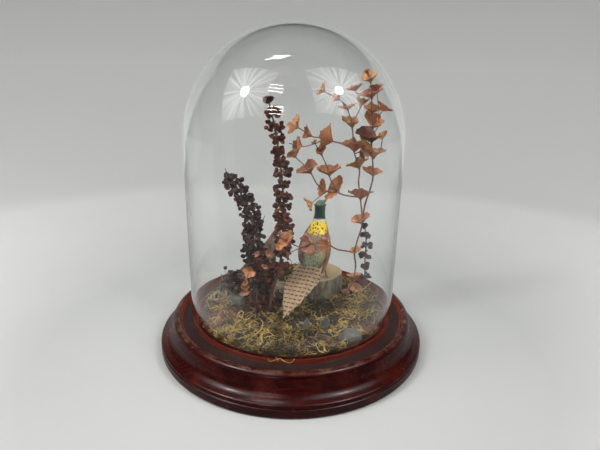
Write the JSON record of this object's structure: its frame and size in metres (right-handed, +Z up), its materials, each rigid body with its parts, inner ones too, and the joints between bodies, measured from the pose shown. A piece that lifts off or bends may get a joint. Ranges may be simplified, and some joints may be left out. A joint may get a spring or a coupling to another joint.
{
  "type": "glass display dome",
  "caption": "Glass bell dome that stands in the rebate of a turned wooden base, over a small scene of a carved bird, dried stems and moss; the dome lifts off.",
  "frame": {"origin": "on the axis of the dome, at the underside of the felt under the base", "axes": "+Z up along the axis of the dome, -Y towards the side of the scene that is seen from the front, +X to the right of it"},
  "size_m": [0.265, 0.265, 0.305],
  "materials": {
    "felt": "short dark green felt",
    "mahogany": "dark red-brown stain under satin lacquer, worn at the lip",
    "dome_glass": "clear blown glass, polished",
    "moss_bed": "dark dried moss mat",
    "sawn_log": "bare sawn end grain with grey bark",
    "weathered_wood": "weathered split wood",
    "bark": "pale weathered bark",
    "gravel": "small tan gravel, glued",
    "stone": "smooth grey river stone",
    "bark_chip": "grey weathered bark",
    "painted_body": "carved and hand painted, satin",
    "painted_head": "carved and hand painted, satin",
    "beak": "painted dark horn colour",
    "eye": "black glass bead",
    "painted_wing": "carved and hand painted, satin",
    "painted_tail": "carved and hand painted with dark bars",
    "leg_wire": "painted bent wire",
    "dock_red": "dried seed heads, dark red-brown",
    "dock_grey": "dried seed heads, dusty purple-brown",
    "dry_leaf": "dried leaves, orange-brown",
    "moss": "golden dried reindeer moss",
    "red_stem": "dried red-brown stem",
    "twig": "grey-brown twig"
  },
  "bodies": {
    "base": {"felt_pad": "felt", "base_moulding": "mahogany", "moss_bed": "moss_bed", "stump": "sawn_log", "split_log": "weathered_wood", "bark_slab": "bark", "gravel_mound": "gravel", "stone_left": "stone", "stone_right": "stone", "bark_chip_left": "bark_chip", "bark_chip_right": "bark_chip", "pheasant_body": "painted_body", "pheasant_head": "painted_head", "pheasant_beak": "beak", "pheasant_eyes": "eye", "pheasant_wing_left": "painted_wing", "pheasant_wing_right": "painted_wing", "pheasant_tail": "painted_tail", "pheasant_leg_left": "leg_wire", "pheasant_leg_right": "leg_wire", "dock_stalk_tall": "dock_red", "dock_stalk_left": "dock_grey", "dock_stalk_back": "dock_grey", "dock_tuft": "dock_red", "eucalyptus_sprig_main": "dry_leaf", "eucalyptus_sprig_top": "dry_leaf", "eucalyptus_branch_upper": "dry_leaf", "eucalyptus_branch_lower": "dry_leaf", "eucalyptus_branch_low": "dry_leaf", "moss_front": "moss", "moss_front_left": "moss", "moss_right": "moss", "moss_back": "moss", "leaf_litter": "dry_leaf", "red_sprig": "red_stem", "twig_left": "twig"},
    "dome": {"glass_dome": "dome_glass"}
  },
  "joints": [
    {"name": "dome_lift", "type": "slide", "parent": "base", "child": "dome", "axis": [0, 0, 1], "range_m": [0, 0.3]}
  ]
}
